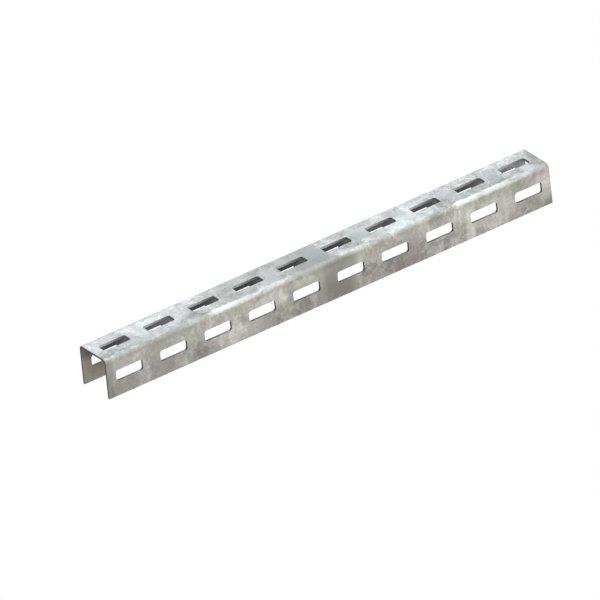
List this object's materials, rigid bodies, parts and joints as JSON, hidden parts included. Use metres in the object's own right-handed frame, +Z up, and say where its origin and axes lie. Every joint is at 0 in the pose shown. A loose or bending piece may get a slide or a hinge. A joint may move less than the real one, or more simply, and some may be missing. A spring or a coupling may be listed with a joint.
{
  "type": "slotted strut channel",
  "caption": "Short length of plain U-section channel bent from galvanised steel sheet, with a row of bolt slots along the web and both flanges.",
  "frame": {"origin": "middle of the channel's length and width, at the level of the flanges' free edges, on which it stands", "axes": "+X along the channel, +Y across it towards the back flange, +Z up, from the feet towards the web"},
  "size_m": [0.5, 0.041, 0.041],
  "materials": {
    "galvanised_steel": "hot-dip galvanised, softly mottled"
  },
  "bodies": {
    "root": {"channel": "galvanised_steel"}
  },
  "joints": []
}
